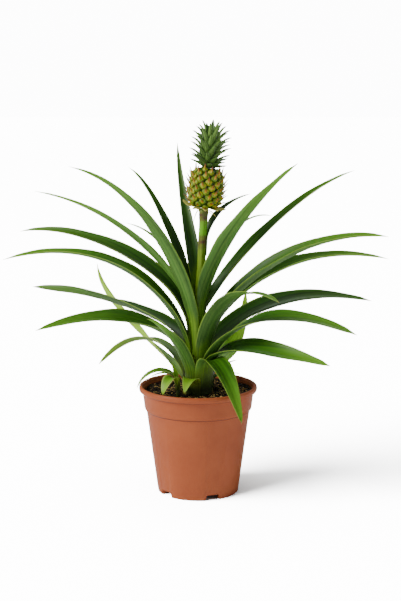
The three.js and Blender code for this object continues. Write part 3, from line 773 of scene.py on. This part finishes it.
def half_section(wide, out, channel, blade, steps):
    """Points (x, lift) from the midrib to one edge: round the stem in the sheath, and in the blade
    a channel with a crease at the midrib."""
    points = [(0.0, 0.0)]
    step = wide / 2 / steps
    for j in range(steps):
        s = (j + 0.5) / steps
        crease = CREASE_SHARE * 0.62 * math.tanh(s / 0.1)
        flat = math.radians(channel) * ((1 - CREASE_SHARE) * s + crease)
        bend = (1 - blade) * s * wide / 2 / max(out, 6) + blade * flat
        x, lift = points[-1]
        points.append((x + step * math.cos(bend), lift + step * math.sin(bend)))
    return points


def leaf_rows(shape, centre=None, radius=None, root=0, stations=64, across=16, wave=0.3, seed=0):
    """Rows of points across the middle surface of a leaf, in mm, each with its share of the length,
    its distance past the bundle and the leaf's length."""
    azimuth, seat, leave, reach, tip, slope, lead, tail, width, channel, roll, twist = shape
    centre = centre or (stem_axis(seat), 0)
    radius = radius or sheath_radius(seat)
    dense, along, foot, collar = midrib(radius, seat, leave, reach, tip, slope, lead, tail, root)
    length = along[-1] - foot
    outward, sideways = directions(math.radians(azimuth))
    draw = random.Random(seed)
    phases = [draw.uniform(0, FULL_TURN) for _ in range(4)]
    steps = across // 2
    rows = []
    k = 0
    for i in range(stations + 1):
        at = i / stations * along[-1]
        share = (at - foot) / length
        while k + 2 < len(along) and along[k + 1] < at:
            k += 1
        t = (at - along[k]) / max(1e-9, along[k + 1] - along[k])
        point = dense[k].lerp(dense[k + 1], t)
        tangent = (dense[min(len(dense) - 1, k + 4)] - dense[max(0, k - 3)]).normalized()
        upper = outward * -tangent.y + Vector((0, 0, tangent.x))
        beyond = max(0.0, at - collar)
        blade = smoothstep(beyond / SHEATH_FADE)
        wide = leaf_width(width, share, point.x, 1 - at / foot if at < foot else 0)
        half = half_section(wide, point.x, channel, blade, steps)
        rolled = roll * min(1, beyond / ROLL_LENGTH) + twist * max(0.0, share) ** 2
        rolled = math.radians(rolled)
        middle = Vector((centre[0], centre[1], point.y)) + outward * point.x
        row = []
        for j in range(-steps, steps + 1):
            x, lift = half[abs(j)]
            x = math.copysign(x, j) if j else 0.0
            right = j > 0
            ripple = math.sin(at / (9 + 3 * right) + phases[right])
            ripple += 0.6 * math.sin(at / 23 + phases[2 + right])
            lift += wave * blade * (j / steps) ** 2 * ripple * min(1, wide / 10)
            row.append(
                middle + sideways * (x * math.cos(rolled) - lift * math.sin(rolled))
                + upper * (x * math.sin(rolled) + lift * math.cos(rolled)))
        rows.append((row, share, beyond, length))
    return rows


def leaf_layers(bm):
    """The flat map of a leaf, across and along it in metres, and its vertices' attributes."""
    names = ("tone", "under", "edge", "foot", "far", "dry")
    return bm.loops.layers.uv.new("flat"), {
        name: bm.verts.layers.float.new(name) for name in names}


def leaf_mesh(bm, layers, rows, thick, tone, sheath=20.0):
    """Adds a leaf as a closed thin solid: thickest along the midrib, thin at its edges."""
    uv, attributes = layers
    count = len(rows[0][0])
    last = len(rows) - 1
    grids = []
    for below in (1, -1):
        grid = []
        for i, (row, share, beyond, _) in enumerate(rows):
            before = rows[max(0, i - 1)][0]
            after = rows[min(last, i + 1)][0]
            line = []
            for j, point in enumerate(row):
                across = row[min(count - 1, j + 1)] - row[max(0, j - 1)]
                normal = (after[j] - before[j]).cross(across)
                normal = normal.normalized() if normal.length > 1e-9 else Vector((0, 0, 1))
                s = abs(2 * j / (count - 1) - 1)
                half = thick / 2 * (1 - 0.65 * s ** 2) * min(1, 0.25 + (1 - share) / 0.1)
                vert = bm.verts.new((point - normal * below * half) * MM)
                vert[attributes["tone"]] = tone
                vert[attributes["under"]] = 1.0 if below > 0 else 0.0
                vert[attributes["edge"]] = smoothstep((s - 0.87) / 0.1)
                vert[attributes["foot"]] = 1 - smoothstep(beyond / (sheath * (1.3 - 0.7 * s)))
                vert[attributes["far"]] = smoothstep((share - 0.45) / 0.5)
                vert[attributes["dry"]] = smoothstep((share - 0.965) / 0.035) * 0.8
                line.append(vert)
            grid.append(line)
        grids.append(grid)
    under, upper = grids

    def face(corners, flats):
        """A face, with the place of each corner on the flat map."""
        made = bm.faces.new(corners)
        for loop, (i, j) in zip(made.loops, flats):
            row, share, _, length = rows[i]
            spread = (row[-1] - row[0]).length
            loop[uv].uv = ((j / (count - 1) - 0.5) * spread * MM, share * length * MM)

    for i in range(last):
        for j in range(count - 1):
            corners = [(i, j), (i + 1, j), (i + 1, j + 1), (i, j + 1)]
            face([under[a][b] for a, b in corners], corners)
            face([upper[a][b] for a, b in corners[::-1]], corners[::-1])
        for j, (a, b) in ((0, (under, upper)), (count - 1, (upper, under))):
            flats = [(i, j), (i, j), (i + 1, j), (i + 1, j)]
            face([a[i][j], b[i][j], b[i + 1][j], a[i + 1][j]], flats)
    for i, (a, b) in ((0, (under, upper)), (last, (upper, under))):
        for j in range(count - 1):
            flats = [(i, j), (i, j + 1), (i, j + 1), (i, j)]
            face([a[i][j], a[i][j + 1], b[i][j + 1], b[i][j]], flats)


def make_leaves():
    for k, (name, shape) in enumerate(LEAVES.items()):
        bm = bmesh.new()
        layers = leaf_layers(bm)
        rows = leaf_rows(shape, root=LEAF_ROOT, seed=k)
        tone = LEAF_TONES_AND_PAINTED_LIGHT.get(name, 0.45 + 0.25 * random.Random(k + 50).random())
        leaf_mesh(bm, layers, rows, LEAF_THICKNESS, tone)
        bmesh.ops.recalc_face_normals(bm, faces=bm.faces)
        young = name in YOUNG_LEAVES
        # Painted light, partly: leaf_back_left_pale is young, and its pale young skin also stands in
        # for light shining through it.
        leaf_skin = YOUNG_SKIN if young or name == PALE_LEAF else LEAF_SKIN
        piece(bm, name.replace("leaf_", "blade_"), leaf_skin, [name])


make_leaves()


# Side shoot
# A young offset that grows from the soil at the front left: a short upright post of wrapped leaf
# bases, and thin bright leaves that arch out of it over the rim.

SHOOT_HEIGHT = 38
SHOOT_MIDDLE = 103
SHOOT_RADIUS = 2.3
SHOOT_CHANNEL = 35
# The same values as for the large leaves up to the width, then the roll.
SHOOT_LEAVES = [
    (180, 116, 119, 41, 111, -70, 14, 26, 7, -110),
    (158, 114, 117, 30, 120, -30, 12, 14, 6, -90),
    (225, 109, 113, 21, 107.5, -80, 17, 14, 19, 0),
    (130, 114, 117, 10, 135, 55, 8, 6, 7, 0),
]


def make_shoot():
    bm = bmesh.new()
    layers = leaf_layers(bm)
    bmesh.ops.create_cone(
        bm, cap_ends=True, segments=20, radius1=2.6 * MM, radius2=1.8 * MM,
        depth=SHOOT_HEIGHT * MM,
        matrix=Matrix.Translation(Vector((*SHOOT_PLACE, SHOOT_MIDDLE)) * MM))
    for vert in bm.verts:
        vert[layers[1]["foot"]] = 1.0
        vert[layers[1]["tone"]] = 0.3
    for k, (*shape, roll) in enumerate(SHOOT_LEAVES):
        rows = leaf_rows(
            (*shape, SHOOT_CHANNEL, roll, 0), centre=SHOOT_PLACE, radius=SHOOT_RADIUS,
            stations=32, across=10, wave=0.2, seed=k + 90)
        leaf_mesh(bm, layers, rows, 0.6, 0.3 + 0.15 * k, sheath=8)
    bmesh.ops.recalc_face_normals(bm, faces=bm.faces)
    piece(bm, "side_shoot", YOUNG_SKIN, ["sucker"])


make_shoot()


# Fruit
# A barrel of fruitlets grown together in golden-angle spirals on the end of the stalk. Each is a
# plump diamond boss, and over it lies a pointed bract that dries to orange and red-brown at its
# raised tip. Pale papery bracts spread under the fruit and on the stalk.

FRUIT_HEIGHT = 41
FRUIT_RADIUS = 15.6
FRUIT_TOP = 39.77
FRUIT_CORE_HEIGHTS = (0.3, 1, 2.5, 5, 9, 14, 20, 26, 31, 35, 38, FRUIT_TOP)
FRUITLETS = 84
GOLDEN_ANGLE = 137.508
BOSS_SIDES = 16
BOSS_RINGS = 6
# How square a boss is: 1 is a diamond and 2 is round.
BOSS_POWER = 1.45
# A bract's section as shares of its width and its thickness.
BRACT_SECTION = ((-0.5, -0.7), (-0.28, 0.3), (0, 0.7), (0.28, 0.3), (0.5, -0.7), (0, -0.6))
# The fruit sits on the stalk's top and leans 6 degrees to the right.
FRUIT_PLACE = Matrix.Translation(Vector((stem_axis(STALK_TOP), 0, STALK_TOP + 0.3)) * MM)
FRUIT_PLACE = FRUIT_PLACE @ Matrix.Rotation(math.radians(6), 4, "Y")
# Azimuth, reach, height of the tip, its slope and the twist of the bracts under the fruit.
FRUIT_BRACTS = [
    (190, 22, 7, 50, -90), (232, 18, 0, -5, -30), (275, 20, -1, -15, 0), (320, 19, 0, -10, 30),
    (0, 22, 1, 5, 60), (50, 19, 2, 10, 0), (95, 18, 3, 20, 0), (145, 19, 3, 20, 0),
]
# The same values as for a leaf, up to the width.
STALK_BRACTS = [
    (-30, 284, 286, 14, 281, -60, 4, 4, 2.6), (200, 284, 286, 11, 276, -75, 6, 5, 2.4),
    (150, 285, 286.5, 18, 287, -10, 3, 6, 3.2), (40, 282, 284, 12, 281, -50, 3, 4, 2.6),
]


def fruit_rind():
    """A living rind with a waxy sheen: green in the grooves, darkened there with painted shade,
    mottled yellow-green on the bosses with spots 2 mm across, and bracts that dry from orange to
    brown."""
    material, tree, shader = new_material("waxy fruit rind", 0.42)
    place = add(tree, "TexCoord", output="Object")
    height = add(tree, "Attribute", output="Fac", attribute_name="height")
    tone = add(tree, "Attribute", output="Fac", attribute_name="tone")
    dried = add(tree, "Attribute", output="Fac", attribute_name="bract")
    is_bract = add(tree, "Attribute", output="Fac", attribute_name="is_bract")
    mottled = add(tree, "TexNoise", {
        "Vector": place, "Scale": per_metre(2.381), "Detail": 4, "Roughness": 0.6})
    boss = add(tree, "ValToRGB", (mottled,), stops=[
        (0.34, "#5c9008"), (0.5, "#9cbc14"), (0.68, "#dcc834")])
    # Painted shade, partly: the grooves' green is darkened to stand in for the shade in them.
    colour = add(tree, "Mix", (height, linear("#486e10"), boss), data_type="RGBA")
    ripeness = add(tree, "ValToRGB", (tone,), stops=[
        (0.0, "#94bc68"), (0.5, "#f0ecc4"), (1.0, "#fff0b0")])
    colour = add(tree, "Mix", (1.0, colour, ripeness), data_type="RGBA", blend_type="MULTIPLY")
    bract = add(tree, "ValToRGB", (dried,), stops=[
        (0.0, "#a0b01c"), (0.3, "#c8a01c"), (0.6, "#9c6410"), (0.85, "#6a3c0e"), (1.0, "#402610")])
    colour = add(tree, "Mix", (is_bract, colour, bract), data_type="RGBA")
    tree.links.new(colour, shader.inputs["Base Color"])
    bumps = add(tree, "Bump", {"Height": mottled, "Distance": 0.4 * MM, "Strength": 0.5})
    tree.links.new(bumps, shader.inputs["Normal"])
    return material


def papery_bract():
    """A dried bract: matt and cream-coloured, with darker streaks 0.6 mm wide along it and a brown
    tip."""
    material, tree, shader = new_material("cream bract", 0.6, 0.3)
    flat = add(tree, "TexCoord", output="UV")
    lengthwise = add(tree, "Mapping", {
        "Vector": flat, "Scale": (per_metre(0.625), per_metre(16.67), 1)})
    streaks = add(tree, "TexNoise", {"Vector": lengthwise, "Scale": 1, "Detail": 3})
    colour = add(tree, "ValToRGB", (streaks,), stops=[(0.35, "#a9ac48"), (0.65, "#dcd680")])
    is_dry = add(tree, "Attribute", output="Fac", attribute_name="dry")
    colour = add(tree, "Mix", (is_dry, colour, linear("#5a3a22")), data_type="RGBA")
    tree.links.new(colour, shader.inputs["Base Color"])
    ribs = add(tree, "Bump", {"Height": streaks, "Distance": 0.2 * MM, "Strength": 0.5})
    tree.links.new(ribs, shader.inputs["Normal"])
    return material


PALE_BRACT = papery_bract()


def fruit_radius(height):
    """Radius of the barrel at a height above its foot."""
    middle = 0.47 * FRUIT_HEIGHT
    half = middle if height < middle else FRUIT_HEIGHT - middle
    return FRUIT_RADIUS * (1 - min(1, abs(height - middle) / half) ** 3) ** (1 / 3)


def boss_rings(bm, layer, centre, axes, across, upward, lift):
    """The plump diamond of one fruitlet, in rings that climb to its middle."""
    side, rise, normal = axes
    rings = []
    for i in range(BOSS_RINGS):
        out = 1 - i / BOSS_RINGS
        up = lift * (1 - out ** 3.2) ** 0.7 - 1.2 * (i == 0)
        ring = []
        for j in range(BOSS_SIDES):
            angle = 2 * math.pi * j / BOSS_SIDES
            c = math.cos(angle)
            d = math.sin(angle)
            far = out * (abs(c) ** BOSS_POWER + abs(d) ** BOSS_POWER) ** (-1 / BOSS_POWER)
            off = side * across * far * c + rise * upward * far * d + normal * up
            vert = bm.verts.new((centre + off) * MM)
            vert[layer["height"]] = min(1.0, 1.4 * (1 - out ** 2.5))
            ring.append(vert)
        rings.append(ring)
    return rings


def bract_rings(bm, layer, centre, axes, small, lift, spike, lean):
    """The bract over a boss, in sections from its broad foot to its raised point."""
    side, rise, normal = axes
    rings = []
    for i in range(9):
        t = i / 8
        along = -2.0 * small + (spike + 2.0 * small) * t
        up = lift * (0.85 + 0.4 * t) + 4.2 * small * t ** 1.6
        wide = 3.4 * small * (1 - t) ** 0.6 + 0.25
        thick = 1.5 * (1 - t) ** 0.8 + 0.25
        middle = centre + rise * along + side * lean * t + normal * up
        ring = []
        for across, above in BRACT_SECTION:
            vert = bm.verts.new((middle + side * wide * across + normal * thick * above) * MM)
            vert[layer["is_bract"]] = smoothstep((t - 0.05) / 0.25)
            vert[layer["bract"]] = min(1.0, t + 0.25 * abs(across))
            vert[layer["height"]] = 1.0
            ring.append(vert)
        rings.append(ring)
    return rings


def fruitlet(bm, layer, draw, height, turn):
    """One boss and its bract at a height and direction on the barrel."""
    radius = fruit_radius(height)
    slope = math.atan2(fruit_radius(height - 0.5) - fruit_radius(height + 0.5), 1)
    outward, side = directions(turn)
    rise = outward * -math.sin(slope) + Vector((0, 0, math.cos(slope)))
    normal = outward * math.cos(slope) + Vector((0, 0, math.sin(slope)))
    axes = (side, rise, normal)
    centre = outward * radius + Vector((0, 0, height))
    small = 0.55 + 0.45 * radius / FRUIT_RADIUS
    across = 4.3 * small * draw.uniform(0.94, 1.06)
    upward = 4.2 * small * draw.uniform(0.94, 1.06)
    lift = draw.uniform(1.5, 2.2) * small
    tone = draw.random()
    spike = draw.uniform(4.2, 6.0) * small
    lean = draw.uniform(-1.0, 1.0)
    boss = boss_rings(bm, layer, centre, axes, across, upward, lift)
    bract = bract_rings(bm, layer, centre, axes, small, lift, spike, lean)
    for rings in (boss, bract):
        skin(bm, rings)
        for ring in rings:
            for vert in ring:
                vert[layer["tone"]] = tone


def make_fruit():
    bm = bmesh.new()
    names = ("height", "bract", "is_bract", "tone")
    layer = {name: bm.verts.layers.float.new(name) for name in names}
    wall = [(fruit_radius(height) - 0.6, height) for height in FRUIT_CORE_HEIGHTS]
    core, _ = turned([(0, FRUIT_CORE_HEIGHTS[0]), *wall, (0, FRUIT_TOP)], 48)
    pour(bm, core)
    draw = random.Random(5)
    for k in range(FRUITLETS):
        height = 1.5 + (FRUIT_HEIGHT - 3.5) * (k + 0.5) / FRUITLETS
        fruitlet(bm, layer, draw, height, math.radians(k * GOLDEN_ANGLE))
    bmesh.ops.transform(bm, matrix=FRUIT_PLACE, verts=bm.verts)
    piece(bm, "fruit_rind", fruit_rind(), ["fruit"])


def make_bracts(name, slot, shapes, thick, place, **seat):
    """One piece of loose bracts, each a small leaf."""
    bm = bmesh.new()
    layers = leaf_layers(bm)
    for k, shape in enumerate(shapes):
        rows = leaf_rows(shape, stations=16, across=8, wave=0.15, seed=k, **seat)
        leaf_mesh(bm, layers, rows, thick, 0.5)
    bmesh.ops.recalc_face_normals(bm, faces=bm.faces)
    bmesh.ops.transform(bm, matrix=place, verts=bm.verts)
    piece(bm, name, PALE_BRACT)


make_fruit()
make_bracts(
    "stalk_bracts", "stem", [(*shape, 30, 0, 0) for shape in STALK_BRACTS], 0.5, Matrix(),
    radius=4.6)
make_bracts(
    "fruit_bracts", "fruit",
    [(azimuth, 0.4, 0.6, reach, tip, slope, 0.4, 9, 8, 25, 0, twist)
     for azimuth, reach, tip, slope, twist in FRUIT_BRACTS],
    0.6, FRUIT_PLACE, centre=(0, 0), radius=3)


# Crown
# The leafy tuft that grows on the fruit: short, stiff, channelled leaves in a golden-angle spiral.
# They hug the middle and curl out at their tips, dark green with a grey bloom underneath, pale at
# their feet and brown at their points.

CROWN_LEAVES = 54
CROWN_HEIGHT = 47
CROWN_LOWEST_TIP = 3.5
CROWN_LEAF_WIDTH = 8.2
CROWN_LEAF_THICKNESS = 1.2
CROWN_CORE_HEIGHT = 36
CROWN_CORE_RADII = (6, 3.5)
CROWN_PLACE = FRUIT_PLACE @ Matrix.Translation((0, 0, (FRUIT_TOP + 0.9) * MM))


def waxy_crown_leaf():
    """A stiff waxy leaf: dark green with fine streaks 0.7 mm wide, a grey bloom under its middle
    that dulls it, a pale foot and a dried brown point."""
    material, tree, shader = new_material("waxy crown leaf, bloomed", 0.5)
    flat = add(tree, "TexCoord", output="UV")
    tone = add(tree, "Attribute", output="Fac", attribute_name="tone")
    is_under = add(tree, "Attribute", output="Fac", attribute_name="under")
    is_edge = add(tree, "Attribute", output="Fac", attribute_name="edge")
    is_foot = add(tree, "Attribute", output="Fac", attribute_name="foot")
    is_dry = add(tree, "Attribute", output="Fac", attribute_name="dry")
    lengthwise = add(tree, "Mapping", {
        "Vector": flat, "Scale": (per_metre(0.7143), per_metre(33.33), 1)})
    streaks = add(tree, "TexNoise", {"Vector": lengthwise, "Scale": 1, "Detail": 3})
    colour = add(tree, "ValToRGB", (streaks,), stops=[(0.3, "#336618"), (0.7, "#568c28")])
    bloom = add(tree, "ValToRGB", (streaks,), stops=[(0.3, "#6c9540"), (0.7, "#96bb5a")])
    middle = add(tree, "Math", (0.75, is_edge), operation="SUBTRACT", use_clamp=True)
    share = add(tree, "Math", (middle, is_under), operation="MULTIPLY")
    share = add(tree, "Math", (share, 0.8), operation="MULTIPLY")
    colour = add(tree, "Mix", (share, colour, bloom), data_type="RGBA")
    darkening_by_tone = add(tree, "ValToRGB", (tone,), stops=[
        (0.0, "#90a088"), (0.5, "#d0d4c8"), (1.0, "#ffffff")])
    colour = add(tree, "Mix", (1.0, colour, darkening_by_tone), data_type="RGBA", blend_type="MULTIPLY")
    colour = add(tree, "Mix", (is_dry, colour, linear("#4a4426")), data_type="RGBA")
    colour = add(tree, "Mix", (is_foot, colour, linear("#6f9a2c")), data_type="RGBA")
    tree.links.new(colour, shader.inputs["Base Color"])
    ribs = add(tree, "Bump", {"Height": streaks, "Distance": 0.2 * MM, "Strength": 0.4})
    tree.links.new(ribs, shader.inputs["Normal"])
    return material


def crown_path(share):
    """The four guiding points of a crown leaf, as (distance out, height), for its place in the
    tuft from 0 to 1. The last fifth of them draw in toward the middle."""
    tip = CROWN_LOWEST_TIP + (CROWN_HEIGHT - CROWN_LOWEST_TIP) * share
    foot = max(0.5, tip - 10 - 14 * share)
    late = max(0, share - 0.8) / 0.2
    hug = 7 - 2 * late
    bend = (hug + 2 - 1.5 * late, tip - 3 - 2 * late)
    reach = 18 + 3 * math.sin(math.pi * min(1, 1.2 * share)) - 9 * late
    return [Vector(point) for point in ((3, foot), (hug, foot + 0.5), bend, (reach, tip))]


def crown_rows(share, turn):
    """Rows of points across a crown leaf, a channel in section, in the form that leaf_mesh takes."""
    path = crown_path(share)
    outward, sideways = directions(turn)
    length = sum((b - a).length for a, b in zip(path, path[1:]))
    rows = []
    for i in range(17):
        t = i / 16
        point = cubic(path, t)
        ahead = (cubic(path, min(1, t + 0.02)) - cubic(path, max(0, t - 0.02))).normalized()
        upper = outward * -ahead.y + Vector((0, 0, ahead.x))
        wide = CROWN_LEAF_WIDTH * min(1, 1.45 * (1 - t) ** 0.87 + 0.02)
        wide *= 0.8 + 0.2 * min(1, t / 0.3)
        middle = outward * point.x + Vector((0, 0, point.y))
        row = []
        for j in range(-4, 5):
            across = j / 4
            lift = 0.4 * wide * abs(across) ** 1.3
            row.append(middle + sideways * (across * wide / 2) + upper * lift)
        rows.append((row, t, length * t, length))
    return rows


def make_crown():
    bm = bmesh.new()
    layers = leaf_layers(bm)
    foot, top = CROWN_CORE_RADII
    bmesh.ops.create_cone(
        bm, cap_ends=True, segments=20, radius1=foot * MM, radius2=top * MM,
        depth=CROWN_CORE_HEIGHT * MM,
        matrix=Matrix.Translation((0, 0, CROWN_CORE_HEIGHT / 2 * MM)))
    draw = random.Random(23)
    for k in range(CROWN_LEAVES):
        share = k / (CROWN_LEAVES - 1)
        rows = crown_rows(share, math.radians(k * GOLDEN_ANGLE))
        tone = 0.8 * share + 0.2 * draw.random()
        leaf_mesh(bm, layers, rows, CROWN_LEAF_THICKNESS, tone, sheath=3)
    bmesh.ops.recalc_face_normals(bm, faces=bm.faces)
    bmesh.ops.transform(bm, matrix=CROWN_PLACE, verts=bm.verts)
    piece(bm, "crown_tuft", waxy_crown_leaf(), ["crown"])


make_crown()
